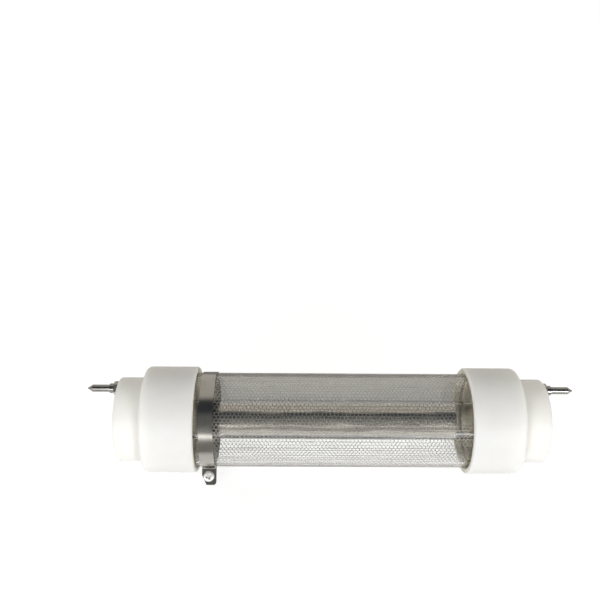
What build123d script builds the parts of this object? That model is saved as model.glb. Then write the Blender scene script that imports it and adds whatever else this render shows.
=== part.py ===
from build123d import *
import math
import os

# Coaxial excimer germicidal lamp, lying on a flat surface. A sealed double-walled quartz tube is held
# between two stepped white caps. A metal mesh covers the tube and a rolled sheet lines its inner bore.
# The lamp is drawn about the X axis with the clamp's ears pointing down and the contact pins up, then
# rolled about that axis until the clamp screw touches the surface it lies on. Sizes are millimetres.

# Quartz envelope
exposed_length = 126.5
outer_tube_diameter = 43.4
outer_tube_wall = 1.6
inner_tube_diameter = 18.0
inner_tube_wall = 1.2
tube_insertion = 11.0
end_seal_thickness = 2.5
end_seal_round = 2.0
tip_diameter = 5.0
tip_length = 4.0

# Mesh electrode: staggered hexagonal gaps in one thin wall
mesh_thickness = 0.4
mesh_insertion = 4.0
mesh_rows = 12
mesh_columns = 8
mesh_web = 1.3

# Inner electrode: a sheet rolled into an open tube
sheet_thickness = 0.3
sheet_setback = 4.5
sheet_seam_gap = 2.5
sheet_seam_turn = 21.7

# End caps
mesh_clearance = 0.4
collar_wall = 2.4
collar_length = 24.4
boss_step = 5.3
boss_length = 12.6
cap_floor = 4.5
shoulder_radius = 2.0
boss_edge_radius = 0.6
mouth_chamfer = 0.6
seal_length = 5.0

# Band clamp with its screw and nut
band_thickness = 0.4
band_width = 6.6
band_setback = 2.25
bend_radius = 0.8
ear_gap = 2.4
ear_length = 8.1
clamp_hole_rise = 4.0
ear_cut_width = 2.2
ear_cut_rise = 4.6
ear_round = 1.0
clamp_thread_diameter = 2.5
clamp_screw_length = 8.0
clamp_head_diameter = 5.0
clamp_head_height = 1.9
clamp_head_round = 0.9
cross_length = 3.0
cross_width = 0.9
cross_depth = 1.0
clamp_nut_flats = 5.0
clamp_nut_height = 2.0

# Contact pins with their nuts and washers
pin_diameter = 3.5
pin_reach = 16.4
pin_edge_distance = 5.3
pin_shoulder_diameter = 4.7
pin_shoulder_length = 2.0
pin_point_length = 1.8
pin_nib_diameter = 1.1
pin_nib_point = 0.7
pin_nib_length = 0.5
pin_thread_diameter = 3.5
pin_nut_flats = 6.0
pin_nut_height = 3.2
washer_diameter = 7.0
washer_thickness = 0.6
spring_washer_diameter = 6.2
spring_washer_thickness = 0.8
spring_washer_slit = 0.4
thread_overrun = 0.7
thread_chamfer = 0.4

# Inner connections
terminal_diameter = 8.0
terminal_thickness = 0.8
barrel_diameter = 3.4
barrel_length = 4.5
neck_length = 0.5
lead_diameter = 1.8
lead_bend = 4.0
lead_grip = 9.0
clip_thickness = 0.5
clip_width = 5.0
strip_width = 4.0
strip_thickness = 0.25

# Clearances of the close fits
mesh_fit = 0.1
sheet_fit = 0.05
seal_fit = 0.05
hole_clearance = 0.1
thread_clearance = 0.03
lead_clearance = 0.5
strip_clearance = 0.5

# Radii, each built on the piece it fits
tube_radius = outer_tube_diameter / 2
mesh_inner_radius = tube_radius + mesh_fit
mesh_radius = mesh_inner_radius + mesh_thickness
bore_radius = mesh_radius + mesh_clearance
collar_radius = bore_radius + collar_wall
boss_radius = collar_radius - boss_step
inner_bore_radius = inner_tube_diameter / 2 - inner_tube_wall
sheet_radius = inner_bore_radius - sheet_fit
sheet_inner_radius = sheet_radius - sheet_thickness
pin_offset = boss_radius - pin_edge_distance
band_radius = mesh_radius + band_thickness
ear_half = ear_gap / 2 + band_thickness
ear_tip_radius = band_radius + ear_length
clamp_offset = band_radius + clamp_hole_rise

# Stations along the axis, measured outwards from the mouth of a cap
cap_length = collar_length + boss_length
bore_depth = collar_length - cap_floor
tube_half = exposed_length / 2 + tube_insertion
mesh_half = exposed_length / 2 + mesh_insertion
sheet_half = exposed_length / 2 - sheet_setback
band_start = band_setback - exposed_length / 2
band_middle = band_start + band_width / 2

# Roll of the lamp: the corner of the clamp that meets the surface first decides it
clamp_corners = (
    (ear_tip_radius, ear_half),
    (clamp_offset + clamp_nut_flats / 2, ear_half + clamp_nut_height),
    (clamp_offset + clamp_thread_diameter / 2, clamp_screw_length - ear_half - thread_chamfer),
)


def contact_roll(corner):
    """Degrees from straight down at which a corner of the clamp touches the surface."""
    reach = math.hypot(*corner)
    lean = math.atan2(corner[1], corner[0])
    return math.degrees(lean + math.acos(min(1.0, collar_radius / reach)))


roll = max(contact_roll(corner) for corner in clamp_corners)
lay = Pos(0, 0, collar_radius) * Rot(-roll, 0, 0)
right = lay * Pos(exposed_length / 2, 0, 0)
left = lay * Rot(0, 0, 180) * Pos(exposed_length / 2, 0, 0)


def ring(inner_radius, outer_radius, start, end):
    """A plain ring about the X axis between two stations."""
    section = Rectangle(end - start, outer_radius - inner_radius)
    return revolve(Pos((start + end) / 2, (inner_radius + outer_radius) / 2) * section, Axis.X)


def along_x(radius, start, end, height=0.0):
    """A round bar along X at a height above the axis."""
    bar = Cylinder(radius, end - start)
    return Pos((start + end) / 2, 0, height) * Rot(0, 90, 0) * bar


def rounded(profile, corner, radius):
    """A profile with the corner nearest to a point rounded."""
    return fillet(profile.vertices().sort_by_distance(corner)[0], radius)


def turned(points):
    """A solid turned about the X axis from (station, radius) points."""
    return revolve(make_face(Polyline(*points, close=True)), Axis.X)


def hex_nut(flats, height, thread_diameter):
    """A hexagon nut on Z = 0 with its outer corners turned off at 30 degrees."""
    blank = extrude(RegularPolygon(flats / 2, 6, major_radius=False), height)
    corner_radius = flats / math.sqrt(3)
    bevel = (corner_radius - flats / 2) * math.tan(math.radians(30))
    envelope = Pos(0, 0, height / 2) * Cylinder(corner_radius, height)
    rims = envelope.edges().filter_by(GeomType.CIRCLE)
    envelope = chamfer(rims, length=bevel, length2=corner_radius - flats / 2, reference=None)
    thread = Cylinder(thread_diameter / 2 + thread_clearance, 3 * height)
    return (blank & envelope) - thread


def quartz_envelope():
    """Two coaxial tubes fused at both ends round a sealed gas space, with the exhaust tip."""
    wall = Pos(0, (inner_bore_radius + tube_radius) / 2)
    wall = wall * Rectangle(2 * tube_half, tube_radius - inner_bore_radius)
    wall = fillet(wall.vertices().group_by(Axis.Y)[-1], end_seal_round)
    gas_low = inner_tube_diameter / 2
    gas_high = tube_radius - outer_tube_wall
    gas = Pos(0, (gas_low + gas_high) / 2)
    gas = gas * Rectangle(2 * (tube_half - end_seal_thickness), gas_high - gas_low)
    tip_radius = tip_diameter / 2
    tip_end = tube_half + tip_length - tip_radius
    tip = along_x(tip_radius, tube_half - end_seal_thickness / 2, tip_end)
    tip = tip + Pos(tip_end, 0, 0) * Sphere(tip_radius)
    tip = Rot(0, 0, 180) * Pos(0, 0, -(gas_low + gas_high) / 2) * tip
    return revolve(wall, Axis.X) - revolve(gas, Axis.X) + tip


def mesh_electrode():
    """A thin sleeve pierced by rows of staggered hexagonal gaps."""
    sleeve = ring(mesh_inner_radius, mesh_radius, -mesh_half, mesh_half)
    row_pitch = 2 * math.pi * mesh_radius / mesh_rows
    pitch = (2 * mesh_half - mesh_web) / (mesh_columns + 0.5)
    cell = Polygon(
        (0, 2 * row_pitch / 3),
        (-pitch / 2, row_pitch / 3),
        (-pitch / 2, -row_pitch / 3),
        (0, -2 * row_pitch / 3),
        (pitch / 2, -row_pitch / 3),
        (pitch / 2, row_pitch / 3),
    )
    gap = extrude(offset(cell, -mesh_web / 2, kind=Kind.INTERSECTION), 3 * mesh_thickness)
    gap = Pos(0, 0, tube_radius - mesh_thickness) * gap
    first = (0.5 - mesh_columns) / 2
    gaps = []
    for row in range(mesh_rows):
        turn = Rot(360 / mesh_rows * row, 0, 0)
        for column in range(mesh_columns):
            station = first + column + row % 2 / 2
            gaps.append(turn * Pos(station * pitch, 0, 0) * gap)
    return sleeve - gaps


def inner_electrode():
    """A metal sheet rolled into a tube, its open seam some way round from the lead."""
    rolled = ring(sheet_inner_radius, sheet_radius, -sheet_half, sheet_half)
    seam = Rectangle(3 * sheet_half, sheet_seam_gap)
    return rolled - Rot(-sheet_seam_turn, 0, 0) * extrude(seam, -2 * sheet_radius)


def end_cap():
    """One cap with its mouth at X = 0: a hollow collar stepping down to a boss, drilled for its pin."""
    profile = make_face(
        Polyline(
            (0, bore_radius),
            (0, collar_radius),
            (collar_length, collar_radius),
            (collar_length, boss_radius),
            (cap_length, boss_radius),
            (cap_length, 0),
            (bore_depth, 0),
            (bore_depth, bore_radius),
            close=True,
        )
    )
    profile = rounded(profile, (collar_length, collar_radius), shoulder_radius)
    profile = rounded(profile, (cap_length, boss_radius), boss_edge_radius)
    mouth = profile.vertices().group_by(Axis.X)[0]
    profile = chamfer(mouth, mouth_chamfer)
    pin_hole = along_x(pin_thread_diameter / 2 + hole_clearance, 0, 2 * cap_length, pin_offset)
    return revolve(profile, Axis.X) - pin_hole


def clamp_band():
    """A strap bent round the mesh, its ends turned out into two ears drilled for the screw."""
    legs = Pos(0, -ear_tip_radius / 2) * Rectangle(2 * ear_half, ear_tip_radius)
    slot = Pos(0, -ear_tip_radius / 2) * Rectangle(ear_gap, ear_tip_radius)
    profile = (Circle(band_radius) + legs) - (Circle(mesh_radius) + slot)
    for side in (-1, 1):
        outer = (side * ear_half, -math.sqrt(band_radius**2 - ear_half**2))
        inner = (side * ear_gap / 2, -math.sqrt(mesh_radius**2 - ear_gap**2 / 4))
        profile = rounded(profile, outer, bend_radius)
        profile = rounded(profile, inner, bend_radius + band_thickness)
    strap = Pos(band_start, 0, 0) * extrude(Plane.YZ * profile, band_width)
    low = Vector(band_start + ear_cut_width, -ear_tip_radius)
    high = Vector(band_start, ear_cut_rise - ear_tip_radius)
    corner = Vector(band_start, -ear_tip_radius)
    cut = make_face(Polyline(2 * low - high, 2 * high - low, 3 * corner - low - high, close=True))
    strap -= extrude(Plane.XZ * cut, ear_tip_radius, both=True)
    ear_ends = strap.edges().filter_by(Axis.Y).filter_by(lambda edge: edge.center().X > band_middle)
    strap = fillet(ear_ends.group_by(Axis.Z)[0], ear_round)
    drill = Rot(90, 0, 0) * Cylinder(clamp_thread_diameter / 2 + hole_clearance, 6 * ear_half)
    return strap - Pos(band_middle, 0, -clamp_offset) * drill


def clamp_screw():
    """A pan-head screw on Z with a cross recess, its head seated on Z = 0."""
    head = Pos(0, 0, clamp_head_height / 2) * Cylinder(clamp_head_diameter / 2, clamp_head_height)
    head = fillet(head.edges().filter_by(GeomType.CIRCLE).sort_by(Axis.Z)[-1], clamp_head_round)
    shank = Pos(0, 0, -clamp_screw_length / 2) * Cylinder(clamp_thread_diameter / 2, clamp_screw_length)
    shank = chamfer(shank.edges().filter_by(GeomType.CIRCLE).sort_by(Axis.Z)[0], thread_chamfer)
    blade = Box(cross_length, cross_width, 2 * cross_depth)
    recess = Pos(0, 0, clamp_head_height) * Rot(0, 0, 20) * (blade + Rot(0, 0, 90) * blade)
    return head + shank - recess


def clamp_nut():
    """The nut on the screw's own axis, seated on the outside of the rear ear."""
    nut = hex_nut(clamp_nut_flats, clamp_nut_height, clamp_thread_diameter)
    return Pos(0, 0, -2 * ear_half - clamp_nut_height) * nut


def contact_pin():
    """A turned pin: threaded shank through the cap, shoulder over the lock nut, and a pointed end."""
    pin = pin_diameter / 2
    thread = pin_thread_diameter / 2
    shoulder = pin_shoulder_diameter / 2
    nib = pin_nib_diameter / 2
    inner_end = bore_depth - terminal_thickness - spring_washer_thickness - pin_nut_height - thread_overrun
    shoulder_start = cap_length + washer_thickness + pin_nut_height
    shoulder_end = shoulder_start + pin_shoulder_length
    tip = cap_length + pin_reach
    body = turned(
        (
            (inner_end, 0),
            (inner_end, thread - thread_chamfer),
            (inner_end + thread_chamfer, thread),
            (shoulder_start, thread),
            (shoulder_start, shoulder),
            (shoulder_end, shoulder),
            (shoulder_end, pin),
            (tip - pin_nib_length - pin_point_length, pin),
            (tip - pin_nib_length, nib),
            (tip, pin_nib_point / 2),
            (tip, 0),
        )
    )
    return Pos(0, 0, pin_offset) * body


def pin_nut(station):
    """A hexagon nut on the pin's thread, starting at a station."""
    nut = hex_nut(pin_nut_flats, pin_nut_height, pin_thread_diameter)
    return Pos(station, 0, pin_offset) * Rot(0, 90, 0) * nut


def pin_washer():
    """The plain washer between the boss's end and the lock nut."""
    hole = pin_thread_diameter / 2 + hole_clearance
    return Pos(0, 0, pin_offset) * ring(hole, washer_diameter / 2, cap_length, cap_length + washer_thickness)


def spring_washer(face):
    """A split spring washer pressed flat between a terminal's face and its nut."""
    hole = pin_thread_diameter / 2 + hole_clearance
    radius = spring_washer_diameter / 2
    washer = ring(hole, radius, face - spring_washer_thickness, face)
    slit = Box(4 * spring_washer_thickness, spring_washer_slit, radius)
    return Pos(0, 0, pin_offset) * (washer - Pos(face, 0, radius) * Rot(0, 0, 30) * slit)


def live_terminal():
    """A ring terminal lying on the cap's floor, its crimped barrel pointing at the axis."""
    hole = pin_thread_diameter / 2 + hole_clearance
    eye = ring(hole, terminal_diameter / 2, bore_depth - terminal_thickness, bore_depth)
    barrel = Cylinder(barrel_diameter / 2, barrel_length, align=(Align.CENTER, Align.CENTER, Align.MAX))
    barrel = Pos(bore_depth - barrel_diameter / 2, 0, -terminal_diameter / 2 - neck_length) * barrel
    neck_reach = terminal_diameter / 2 + neck_length + barrel_length / 2
    neck = Box(terminal_thickness, barrel_diameter, neck_reach, align=(Align.MAX, Align.CENTER, Align.MAX))
    neck = Pos(bore_depth, 0, 0) * neck - along_x(hole, 0, 2 * bore_depth)
    return Pos(0, 0, pin_offset) * (eye + barrel + neck)


def live_lead():
    """The lead from the terminal's barrel, round a bend and along the inside of the rolled sheet."""
    start = pin_offset - terminal_diameter / 2 - neck_length - barrel_length
    station = bore_depth - barrel_diameter / 2
    level = lead_diameter / 2 - sheet_inner_radius
    end = -sheet_setback - lead_grip
    path = FilletPolyline((station, 0, start), (station, 0, level), (end, 0, level), radius=lead_bend)
    return sweep(Plane(path @ 0, z_dir=path % 0) * Circle(lead_diameter / 2), path=path)


def spring_clip():
    """A split ring that springs out against the rolled sheet, open where the lead lies."""
    start = -sheet_setback - (lead_grip + clip_width) / 2
    spring = ring(sheet_inner_radius - clip_thickness, sheet_inner_radius, start, start + clip_width)
    opening = Rectangle(4 * clip_width, lead_diameter + 2 * lead_clearance)
    return spring - Pos(start, 0, 0) * extrude(opening, -sheet_radius)


def earth_strip():
    """A metal strip from the end of the mesh, along the bore and down the cap's floor to the pin."""
    height = mesh_radius + strip_thickness / 2
    floor = bore_depth - strip_thickness / 2
    foot = pin_offset
    path = FilletPolyline((1.0, height), (floor, height), (floor, foot), radius=4 * strip_thickness)
    strip = extrude(trace(path, strip_thickness), strip_width / 2, both=True)
    eye = along_x(terminal_diameter / 2, bore_depth - strip_thickness, bore_depth, pin_offset)
    hole = along_x(pin_thread_diameter / 2 + hole_clearance, 0, 2 * bore_depth, pin_offset)
    return Rot(90, 0, 0) * strip + eye - hole


def seal_ring():
    """A silicone ring between the quartz tube and the cap's bore, notched to let the strip pass."""
    seal = ring(tube_radius + seal_fit, bore_radius - seal_fit, tube_insertion - seal_length, tube_insertion)
    notch = Rectangle(4 * tube_insertion, strip_width + 2 * strip_clearance)
    return seal - extrude(notch, bore_radius)


def put(name, *pieces):
    """Write one node."""
    solid = pieces[0] if len(pieces) == 1 else Compound(children=[*pieces])
    export_step(solid, f"parts/{name}.step")


os.makedirs("parts", exist_ok=True)
cap = end_cap()
pin = contact_pin()
seal = seal_ring()
screw_seat = lay * Pos(band_middle, -ear_half, -clamp_offset) * Rot(90, 0, 0)
lock_nut = pin_nut(cap_length + washer_thickness)
washer = pin_washer()

put("quartz_envelope", lay * quartz_envelope())
put("mesh_electrode", lay * mesh_electrode())
put("inner_electrode", lay * inner_electrode())
put("left_end_cap", left * cap)
put("right_end_cap", right * cap)
put("left_seal_ring", left * seal)
put("right_seal_ring", right * seal)
put("clamp_band", lay * clamp_band())
put("clamp_screw", screw_seat * clamp_screw())
put("clamp_nut", screw_seat * clamp_nut())
put("left_contact_pin", left * pin)
put("right_contact_pin", right * pin)
put("pin_lock_nuts", left * lock_nut, right * lock_nut)
put("pin_washers", left * washer, right * washer)
earth_face = bore_depth - strip_thickness
live_face = bore_depth - terminal_thickness
put("terminal_spring_washers", left * spring_washer(earth_face), right * spring_washer(live_face))
put(
    "terminal_nuts",
    left * pin_nut(earth_face - spring_washer_thickness - pin_nut_height),
    right * pin_nut(live_face - spring_washer_thickness - pin_nut_height),
)
put("live_terminal", right * live_terminal())
put("live_lead", right * live_lead())
put("spring_clip", right * spring_clip())
put("earth_strip", left * earth_strip())
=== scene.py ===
import math
from types import SimpleNamespace

import bpy
from mathutils import Matrix, Vector


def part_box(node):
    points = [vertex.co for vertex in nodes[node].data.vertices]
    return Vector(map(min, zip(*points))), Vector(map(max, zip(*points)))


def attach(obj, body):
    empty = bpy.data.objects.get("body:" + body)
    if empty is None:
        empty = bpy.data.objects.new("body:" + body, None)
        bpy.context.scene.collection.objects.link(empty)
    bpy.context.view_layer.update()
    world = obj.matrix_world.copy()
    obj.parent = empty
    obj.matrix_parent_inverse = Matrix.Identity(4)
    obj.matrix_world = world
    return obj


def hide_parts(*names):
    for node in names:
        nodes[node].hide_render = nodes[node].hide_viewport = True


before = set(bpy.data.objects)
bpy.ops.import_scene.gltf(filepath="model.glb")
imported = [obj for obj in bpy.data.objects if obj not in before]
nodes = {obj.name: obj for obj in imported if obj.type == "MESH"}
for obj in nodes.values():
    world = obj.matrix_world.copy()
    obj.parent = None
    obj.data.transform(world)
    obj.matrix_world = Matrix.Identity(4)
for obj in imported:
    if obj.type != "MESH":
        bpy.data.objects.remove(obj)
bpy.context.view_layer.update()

# Lengths are metres. Angles round the lamp's axis start straight up and grow towards the back.

# Where the lamp lies: its axis is level along X, and its pins lean back by the roll.
cap_low, cap_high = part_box("left_end_cap")
axis_height = (cap_low.z + cap_high.z) / 2
mesh_low, mesh_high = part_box("mesh_electrode")
mesh_radius = (mesh_high.z - mesh_low.z) / 2
pin_low, pin_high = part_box("right_contact_pin")
pin_centre = (pin_low + pin_high) / 2
lamp_roll = math.atan2(pin_centre.y, pin_centre.z - axis_height)

# Mesh electrode: sheet thickness, bar width, counts of cells round and along, hems, and depth in the solid.
mesh_sheet = 0.0001
mesh_bar = 0.00022
mesh_rows = 92
mesh_columns = 74
mesh_hem = 0.0012
mesh_sink = 0.0001

# Marks on a surface are counted to the metre along and to the radian round, and noise covers these spans.
noise_span = (0.3, 0.7)
noise_pair_span = (0.6, 1.4)

# Caps: clean tones, and the painted shade of the mouth, a tan that starts under the collar's skin and deepens
# inwards.
cap_tones = ((0.900, 0.886, 0.842), (0.940, 0.930, 0.890))
cap_rough = (0.34, 0.50)
cap_scatter = 0.005
lathe_rings = (5200.0, 0.6)
mouth_station = -cap_high.x
rim_skin = 0.0002
rim_radius = (cap_high.z - cap_low.z) / 2 - rim_skin
mouth_painted_shade_tones = ((0.88, 0.81, 0.66), (0.58, 0.50, 0.38))
mouth_painted_shade_start = 0.003
mouth_painted_shade_full = 0.007
mouth_painted_shade_depth = 0.0205
mouth_painted_shade_edge = 0.0005
mouth_painted_shade_wander = 0.0012

# Quartz: the clear tube, and a painted shade line, dark along the lower side of the inner tube and leaning a
# little.
quartz_tint = (0.985, 0.992, 0.995, 1.0)
quartz_shadow_tint = (0.95, 0.96, 0.96, 1.0)
quartz_haze = 0.035
quartz_lines = (9.0, 26.0)
inner_tube_radius = 0.009
painted_shade_line_tone = (0.022, 0.02, 0.018, 1.0)
painted_shade_line_angle = math.radians(-131.5)
painted_shade_line_lean = 1.2
painted_shade_line_half = math.radians(11.5)
painted_shade_line_solid = 0.8
painted_shade_line_reach = mouth_station + 0.004
painted_shade_line_fade = 0.001
painted_shade_line_skin = (0.0004, 0.0002)

# Rolled sheet: tones, roughness, and its marks and waves with their depths.
sheet_tones = ((0.60, 0.55, 0.482), (0.72, 0.665, 0.593))
sheet_rough = (0.15, 0.22)
sheet_marks = (20.0, 22.0)
sheet_mark_depth = 0.00008
sheet_waves = (26.0, 1.1)
sheet_wave_depth = 0.0013

# Other metal and rubber: marks that run round the lamp, and how far roughness strays.
ring_marks = 3.0
bloom_spread = 0.08

# Floor: its size and tones, its glow to the camera, and the painted light and shade that glass and metal see of
# it, in zones from front to back.
floor_half = 6
floor_tones = ((0.55, 0.55, 0.545), (0.57, 0.57, 0.565))
floor_glow = 0.76
floor_painted_light_through_glass = [
    (-0.10, 0.10), (-0.040, 0.10), (-0.020, 0.94),
    (0.014, 0.94), (0.036, 0.06), (0.10, 0.06),
]
floor_painted_light_in_reflections = [
    (-1.20, 1.0), (-0.32, 1.0), (-0.24, 0.12), (-0.18, 0.12), (-0.13, 0.0),
    (-0.052, 0.0), (-0.044, 0.85), (0.014, 0.85), (0.036, 0.0),
]

# Sky, in half turns from the level behind the viewer, over the top, to the level behind the lamp.
sky_stops = [
    (0.06, (0.30, 0.30, 0.295)), (0.10, (0.22, 0.22, 0.215)), (0.28, (0.19, 0.195, 0.195)),
    (0.33, (0.045, 0.054, 0.066)), (0.48, (0.05, 0.057, 0.066)),
    (0.54, (0.76, 0.725, 0.67)), (1.0, (0.82, 0.79, 0.735)),
]

# Light panels: place, width and height, and power.
side_power = 8.8
front_power = 0.52
panels = {
    "left_panel": ((-0.72, -1.08, 0.24), (0.52, 0.46), side_power),
    "right_panel": ((0.72, -1.08, 0.24), (0.52, 0.46), side_power),
    "front_panel": ((-0.32, -1.1, 0.07), (0.36, 0.14), front_power),
}

# Camera.
camera_place = Vector((-0.01895, -0.26914, 0.27377))
camera_yaw = math.radians(0.716)
camera_pitch = math.radians(33.744)
camera_roll = math.radians(0.791)
camera_lens = 45.27
camera_sensor = 36
camera_near = 0.01


class Nodes:
    """The node tree of one material or world, built a node at a time."""

    def __init__(self, owner):
        owner.use_nodes = True
        self.tree = owner.node_tree
        self.tree.nodes.clear()

    def put(self, kind, inputs=None, out=0, **settings):
        """A new node with its inputs linked or set, given back as one of its outputs."""
        node = self.tree.nodes.new("ShaderNode" + kind)
        for key, value in settings.items():
            setattr(node, key, value)
        for key, value in (inputs or {}).items():
            socket = node.inputs[key]
            if isinstance(value, bpy.types.NodeSocket):
                self.tree.links.new(value, socket)
            else:
                socket.default_value = value
        return node.outputs[out] if node.outputs else node

    def math(self, operation, *values):
        return self.put("Math", dict(enumerate(values)), operation=operation)

    def times(self, first, second):
        return self.math("MULTIPLY", first, second)

    def ramp(self, factor, *stops):
        node = self.tree.nodes.new("ShaderNodeValToRGB")
        self.tree.links.new(factor, node.inputs[0])
        marks = node.color_ramp.elements
        while len(marks) < len(stops):
            marks.new(0.5)
        for mark, (place, colour) in zip(marks, stops):
            mark.position = place
            mark.color = (*colour, 1.0)
        return node.outputs[0]

    def range(self, value, low, high, to_low, to_high):
        return self.put("MapRange", {0: value, 1: low, 2: high, 3: to_low, 4: to_high})

    def point(self):
        return self.put("TexCoord", out="Object")

    def split(self, vector):
        node = self.tree.nodes.new("ShaderNodeSeparateXYZ")
        self.tree.links.new(vector, node.inputs[0])
        return node.outputs

    def place(self):
        """The point, X, Y and Z from the lamp's axis, the distance from it and the angle round it."""
        point = self.point()
        x, y, z = self.split(point)
        z = self.math("SUBTRACT", z, axis_height)
        squares = self.math("ADD", self.times(y, y), self.times(z, z))
        radius = self.math("SQRT", squares)
        angle = self.math("ARCTAN2", y, z)
        return SimpleNamespace(point=point, x=x, y=y, z=z, radius=radius, angle=angle)

    def vector(self, x, y, z):
        return self.put("CombineXYZ", {0: x, 1: y, 2: z})

    def stretch(self, at, marks, third=0.0):
        """Where a noise is read for so many marks to the metre along and to the radian round."""
        return self.vector(self.times(at.x, marks[0]), self.times(at.angle, marks[1]), third)

    def noise(self, point, scale, detail=2.0, roughness=0.5):
        return self.put("TexNoise", {"Vector": point, "Scale": scale, "Detail": detail, "Roughness": roughness})

    def bump(self, height, strength, distance, under=None):
        inputs = {"Height": height, "Strength": strength, "Distance": distance}
        if under is not None:
            inputs["Normal"] = under
        return self.put("Bump", inputs)

    def along_floor(self, stops):
        """A value that changes from front to back, given as (Y, value) stops."""
        near, far = stops[0][0], stops[-1][0]
        share = self.range(self.split(self.point())[1], near, far, 0.0, 1.0)
        return self.ramp(share, *[((y - near) / (far - near), (value, value, value)) for y, value in stops])

    def surface(self, shader):
        self.put("OutputMaterial", {"Surface": shader})


def new_material(name):
    made = bpy.data.materials.new(name)
    return made, Nodes(made)


def turned_plastic():
    """Satin white fluoropolymer with fine lathe rings, a faint cloudiness and tan painted shade in the mouth.
    """
    made, n = new_material("turned_white_fluoropolymer")
    at = n.place()
    feed = n.math("ADD", at.x, at.radius)
    turning = n.vector(n.times(feed, lathe_rings[0]), n.times(at.angle, lathe_rings[1]), 0.0)
    rings = n.noise(turning, scale=1.0, detail=2.0)
    cloud = n.noise(at.point, scale=55.0, detail=4.0)
    specks = n.noise(at.point, scale=900.0, detail=2.0)
    clean = n.ramp(cloud, (0.30, cap_tones[0]), (0.72, cap_tones[1]))
    # Painted shade in the mouth: a tan inside the rim that darkens with depth into the bore.
    uneven = n.times(n.math("SUBTRACT", cloud, 0.5), mouth_painted_shade_wander)
    inside = n.range(n.math("ADD", at.radius, uneven), rim_radius, rim_radius - mouth_painted_shade_edge, 0.0, 1.0)
    depth = n.math("SUBTRACT", n.math("ABSOLUTE", at.x), mouth_station)
    within = n.range(depth, mouth_painted_shade_depth, mouth_painted_shade_depth + mouth_painted_shade_edge, 1.0, 0.0)
    deeper = n.range(depth, mouth_painted_shade_start, mouth_painted_shade_full, 0.0, 1.0)
    painted_mouth_shade = n.ramp(deeper, (0.0, mouth_painted_shade_tones[0]), (1.0, mouth_painted_shade_tones[1]))
    colour = n.put("MixRGB", {0: n.times(inside, within), 1: clean, 2: painted_mouth_shade})
    gloss = n.range(n.math("ADD", specks, cloud), *noise_pair_span, *cap_rough)
    normal = n.bump(rings, strength=0.10, distance=0.00006)
    n.surface(n.put("BsdfPrincipled", {
        "Base Color": colour, "Roughness": gloss, "Normal": normal, "IOR": 1.38,
        "Subsurface Weight": 0.9, "Subsurface Radius": (1.0, 1.0, 0.95), "Subsurface Scale": cap_scatter}))
    return made


def quartz():
    """Clear fused silica with faint drawing lines, and a dark painted shade line on the inner tube."""
    made, n = new_material("fused_quartz")
    at = n.place()
    lines = n.noise(n.stretch(at, quartz_lines, at.radius), scale=1.0, detail=2.0)
    haze = n.range(n.noise(at.point, scale=120.0, detail=3.0), 0.35, 0.75, 0.0, quartz_haze)
    # Painted shade: a dark strip on the inner tube's skin, leaning along the lamp and fading out near the
    # mouths.
    leaning = n.math("ADD", at.angle, n.times(at.x, painted_shade_line_lean))
    round_off = n.math("ABSOLUTE", n.math("SUBTRACT", leaning, painted_shade_line_angle))
    line = n.range(round_off, painted_shade_line_half, painted_shade_line_half * painted_shade_line_solid, 0.0, 1.0)
    skin_off = n.math("ABSOLUTE", n.math("SUBTRACT", at.radius, inner_tube_radius))
    skin = n.range(skin_off, *painted_shade_line_skin, 0.0, 1.0)
    reach = n.range(n.math("ABSOLUTE", at.x), painted_shade_line_reach, painted_shade_line_reach - painted_shade_line_fade, 0.0, 1.0)
    shade = n.times(line, n.times(skin, reach))
    glass = n.put("BsdfPrincipled", {
        "Base Color": quartz_tint, "Roughness": haze, "IOR": 1.458,
        "Transmission Weight": 1.0, "Normal": n.bump(lines, strength=0.05, distance=0.0002)})
    # The painted shade line's dark matt surface.
    edge = n.put("BsdfPrincipled", {
        "Base Color": painted_shade_line_tone, "Roughness": 0.7, "Specular IOR Level": 0.1})
    tube = n.put("MixShader", {0: shade, 1: glass, 2: edge})
    clear = n.put("BsdfTransparent", {"Color": quartz_shadow_tint})
    shadow = n.put("LightPath", out="Is Shadow Ray")
    n.surface(n.put("MixShader", {0: shadow, 1: tube, 2: clear}))
    return made


def metal(name, dark, light, rough, grain, depth, along="all", bare=1.0):
    """Metal with fine marks round the lamp ("ring") or all over ("all"), bare or dulled."""
    made, n = new_material(name)
    at = n.place()
    if along == "ring":
        mark = n.stretch(at, (grain, ring_marks), n.times(at.radius, grain))
    else:
        mark = n.vector(n.times(at.x, grain), n.times(at.y, grain), n.times(at.z, grain))
    marks = n.noise(mark, scale=1.0, detail=3.0, roughness=0.6)
    smudge = n.noise(at.point, scale=160.0, detail=3.0)
    colour = n.ramp(smudge, (0.32, dark), (0.70, light))
    gloss = n.range(n.math("ADD", marks, smudge), *noise_pair_span, *rough)
    n.surface(n.put("BsdfPrincipled", {
        "Base Color": colour, "Metallic": bare, "Roughness": gloss,
        "Normal": n.bump(marks, strength=0.25, distance=depth)}))
    return made


def rolled_sheet():
    """Bright rolled aluminium, a little wavy, with rolling marks along the lamp."""
    made, n = new_material("rolled_aluminium_sheet")
    at = n.place()
    marks = n.noise(n.stretch(at, sheet_marks), scale=1.0, detail=4.0, roughness=0.6)
    waves = n.noise(n.stretch(at, sheet_waves), scale=1.0, detail=2.0)
    colour = n.ramp(marks, (0.30, sheet_tones[0]), (0.72, sheet_tones[1]))
    gloss = n.range(marks, *noise_span, *sheet_rough)
    wavy = n.bump(waves, strength=0.8, distance=sheet_wave_depth)
    normal = n.bump(marks, strength=0.15, distance=sheet_mark_depth, under=wavy)
    n.surface(n.put("BsdfPrincipled", {
        "Base Color": colour, "Metallic": 1.0, "Roughness": gloss, "Normal": normal}))
    return made


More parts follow.
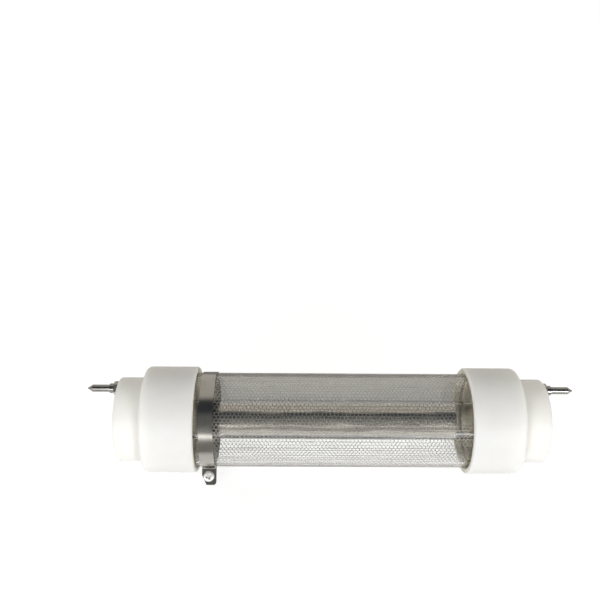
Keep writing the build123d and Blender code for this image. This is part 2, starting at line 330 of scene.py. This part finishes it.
def moulded(name, dark, light, rough, clear):
    """Soft moulded rubber or lead covering, matt, with a fine bloom."""
    made, n = new_material(name)
    bloom = n.noise(n.point(), scale=420.0, detail=3.0)
    colour = n.ramp(bloom, (noise_span[0], dark), (noise_span[1], light))
    gloss = n.range(bloom, *noise_span, rough - bloom_spread, rough + bloom_spread)
    normal = n.bump(bloom, strength=0.12, distance=0.00005)
    n.surface(n.put("BsdfPrincipled", {
        "Base Color": colour, "Roughness": gloss, "Normal": normal,
        "Subsurface Weight": clear, "Subsurface Scale": 0.002}))
    return made


def honeycomb_sleeve(name, low, high, inner, outer):
    """A thin sleeve round the lamp's axis, cut through by staggered six-sided openings."""
    pitch = (high - low) / (mesh_columns + 0.5)
    rise = 2 * math.pi / mesh_rows
    shrink = 1 - mesh_bar / pitch
    # One cell's corners, in shares of the pitch along and the rise round. Odd rows are half a cell further on.
    corners = [(0, 2 / 3), (1 / 2, 1 / 3), (1 / 2, -1 / 3), (0, -2 / 3), (-1 / 2, -1 / 3), (-1 / 2, 1 / 3)]
    sides = len(corners)
    points = []
    faces = []

    def number(row, column, corner, skin):
        return (((row % mesh_rows) * mesh_columns + column) * sides + corner % sides) * 2 + skin

    def both(*ring):
        faces.append([number(*corner, 0) for corner in ring])
        faces.append([number(*corner, 1) for corner in reversed(ring)])

    # The corners of each opening, on the outer and the inner skin.
    for row in range(mesh_rows):
        for column in range(mesh_columns):
            middle = low + (column + 0.5 + row % 2 / 2) * pitch
            for along, across in corners:
                angle = (row + across * shrink) * rise + lamp_roll
                for radius in (outer, inner):
                    points.append((middle + along * shrink * pitch, radius * math.sin(angle),
                                   axis_height + radius * math.cos(angle)))

    # The walls of each opening, and the bars and knots between it and the next ones.
    for row in range(mesh_rows):
        for column in range(mesh_columns):
            cell = (row, column)
            for corner in range(sides):
                faces.append([number(*cell, corner, 0), number(*cell, corner, 1),
                              number(*cell, corner + 1, 1), number(*cell, corner + 1, 0)])
            above_right = column + row % 2
            above_left = above_right - 1
            has_right = column + 1 < mesh_columns
            if has_right:
                both((*cell, 2), (row, column + 1, 4), (row, column + 1, 5), (*cell, 1))
            if above_right < mesh_columns:
                both((*cell, 1), (row + 1, above_right, 3), (row + 1, above_right, 4), (*cell, 0))
                if has_right:
                    both((*cell, 1), (row, column + 1, 5), (row + 1, above_right, 3))
            if above_left >= 0:
                both((*cell, 0), (row + 1, above_left, 2), (row + 1, above_left, 3), (*cell, 5))
                if above_right < mesh_columns:
                    both((*cell, 0), (row + 1, above_right, 4), (row + 1, above_left, 2))

    # A plain hem at each end, inside the caps.
    steps = 2 * mesh_rows
    for start, stop in ((low, low + mesh_hem), (high - mesh_hem, high)):
        base = len(points)
        for step in range(steps):
            angle = step * rise / 2 + lamp_roll
            for x, radius in ((start, outer), (stop, outer), (stop, inner), (start, inner)):
                points.append((x, radius * math.sin(angle), axis_height + radius * math.cos(angle)))
        for step in range(steps):
            here = base + step * 4
            there = base + (step + 1) % steps * 4
            for edge in range(4):
                after = (edge + 1) % 4
                faces.append([here + edge, here + after, there + after, there + edge])

    data = bpy.data.meshes.new(name)
    data.from_pydata(points, [], faces)
    data.validate()
    data.update()
    made = bpy.data.objects.new(name, data)
    bpy.context.collection.objects.link(made)
    return made


# Finishes, and the nodes that wear them.
finishes = {
    "cap": turned_plastic(),
    "quartz": quartz(),
    "mesh": metal("dulled_steel_mesh", (0.365, 0.345, 0.308), (0.434, 0.41, 0.368),
                  rough=(0.28, 0.40), grain=2500.0, depth=0.00002, bare=0.82),
    "sheet": rolled_sheet(),
    "band": metal("polished_steel_band", (0.345, 0.332, 0.303), (0.393, 0.38, 0.352),
                  rough=(0.14, 0.25), grain=2600.0, depth=0.000012, along="ring"),
    "screw": metal("zinc_plated_screw", (0.76, 0.75, 0.73), (0.86, 0.85, 0.83),
                   rough=(0.42, 0.56), grain=2200.0, depth=0.00003),
    "fastener": metal("nickel_plated_fasteners", (0.30, 0.29, 0.27), (0.42, 0.41, 0.38),
                      rough=(0.18, 0.32), grain=1800.0, depth=0.00002),
    "pin": metal("nickel_plated_pins", (0.25, 0.243, 0.232), (0.32, 0.312, 0.30),
                 rough=(0.14, 0.26), grain=3000.0, depth=0.00001, along="ring"),
    "terminal": metal("tinned_brass_terminals", (0.66, 0.62, 0.54), (0.78, 0.75, 0.68),
                      rough=(0.24, 0.40), grain=1500.0, depth=0.00003),
    "seal": moulded("aged_silicone", (0.44, 0.38, 0.28), (0.54, 0.47, 0.36), rough=0.45, clear=0.3),
    "lead": moulded("white_lead_covering", (0.74, 0.73, 0.70), (0.82, 0.81, 0.79), rough=0.50, clear=0.2),
}
wearing = {
    "cap": ["left_end_cap", "right_end_cap"],
    "quartz": ["quartz_envelope"],
    "mesh": ["mesh_electrode"],
    "sheet": ["inner_electrode"],
    "band": ["clamp_band", "spring_clip", "earth_strip"],
    "screw": ["clamp_screw"],
    "fastener": ["clamp_nut", "pin_lock_nuts", "pin_washers", "terminal_spring_washers", "terminal_nuts"],
    "pin": ["left_contact_pin", "right_contact_pin"],
    "terminal": ["live_terminal"],
    "seal": ["left_seal_ring", "right_seal_ring"],
    "lead": ["live_lead"],
}
for finish, names in wearing.items():
    for name in names:
        for place in nodes[name].material_slots:
            place.material = finishes[finish]

# The mesh as it is made, with thousands of small openings, in place of the solid with large ones.
sleeve_radius = mesh_radius - mesh_sink
sleeve = honeycomb_sleeve("mesh_sleeve", mesh_low.x, mesh_high.x, sleeve_radius - mesh_sheet, sleeve_radius)
sleeve.data.materials.append(finishes["mesh"])
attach(sleeve, "root")
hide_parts("mesh_electrode")

# Floor: pale and matt, seen as white while it keeps the lamp's shadow.
floor_corners = [(-floor_half, -floor_half, 0), (floor_half, -floor_half, 0),
                 (floor_half, floor_half, 0), (-floor_half, floor_half, 0)]
floor_data = bpy.data.meshes.new("floor")
floor_data.from_pydata(floor_corners, [], [(0, 1, 2, 3)])
floor = bpy.data.objects.new("floor", floor_data)
bpy.context.collection.objects.link(floor)
floor_material, n = new_material("pale_floor")
grain = n.noise(n.point(), scale=35.0, detail=3.0)
tone = n.ramp(grain, (noise_span[0], floor_tones[0]), (noise_span[1], floor_tones[1]))
matt = n.put("BsdfDiffuse", {"Color": tone})
path = n.tree.nodes.new("ShaderNodeLightPath")
seen = n.times(path.outputs["Is Camera Ray"], floor_glow)
# Painted light and shade seen through glass and in reflections: bright and dark zones of the floor from front
# to back.
through = n.times(path.outputs["Is Transmission Ray"], n.along_floor(floor_painted_light_through_glass))
painted_light_in_reflections = n.times(path.outputs["Is Glossy Ray"], n.along_floor(floor_painted_light_in_reflections))
strength = n.math("MAXIMUM", seen, n.math("MAXIMUM", through, painted_light_in_reflections))
glow = n.put("Emission", {"Color": (1, 1, 1, 1), "Strength": strength})
n.surface(n.put("AddShader", {0: matt, 1: glow}))
floor_data.materials.append(floor_material)

# World: pale from overhead to the level behind the lamp, dark above the viewer and grey behind them.
world = bpy.data.worlds.new("studio")
bpy.context.scene.world = world
n = Nodes(world)
_, north, height = n.split(n.put("TexCoord", out="Generated"))
turn = n.math("DIVIDE", n.math("ARCTAN2", height, n.times(north, -1.0)), math.pi)
sky = n.ramp(turn, *sky_stops)
n.put("OutputWorld", {"Surface": n.put("Background", {"Color": sky, "Strength": 1.0})})

# Light: a soft panel on each side of the viewer, and a faint low one between them.
for name, (where, (wide, tall), power) in panels.items():
    data = bpy.data.lights.new(name, "AREA")
    data.shape = "RECTANGLE"
    data.size = wide
    data.size_y = tall
    data.energy = power
    panel = bpy.data.objects.new(name, data)
    panel.location = where
    panel.rotation_euler = (Vector((0, 0, axis_height)) - panel.location).to_track_quat("-Z", "Y").to_euler()
    bpy.context.collection.objects.link(panel)

# Camera: pitched down on the lamp, turned and tilted a little as the photographer's was.
forward = Vector((math.sin(camera_yaw) * math.cos(camera_pitch), math.cos(camera_yaw) * math.cos(camera_pitch),
                  -math.sin(camera_pitch)))
right = Vector((math.cos(camera_yaw), -math.sin(camera_yaw), 0))
up = right.cross(forward)
tilted_right = right * math.cos(camera_roll) + up * math.sin(camera_roll)
tilted_up = up * math.cos(camera_roll) - right * math.sin(camera_roll)
turned = Matrix((tilted_right, tilted_up, -forward)).transposed()
camera_data = bpy.data.cameras.new("camera")
camera_data.lens = camera_lens
camera_data.sensor_width = camera_sensor
camera_data.clip_start = camera_near
camera = bpy.data.objects.new("camera", camera_data)
camera.matrix_world = Matrix.Translation(camera_place) @ turned.to_4x4()
bpy.context.collection.objects.link(camera)
bpy.context.scene.camera = camera
bpy.context.scene.view_settings.view_transform = "Standard"
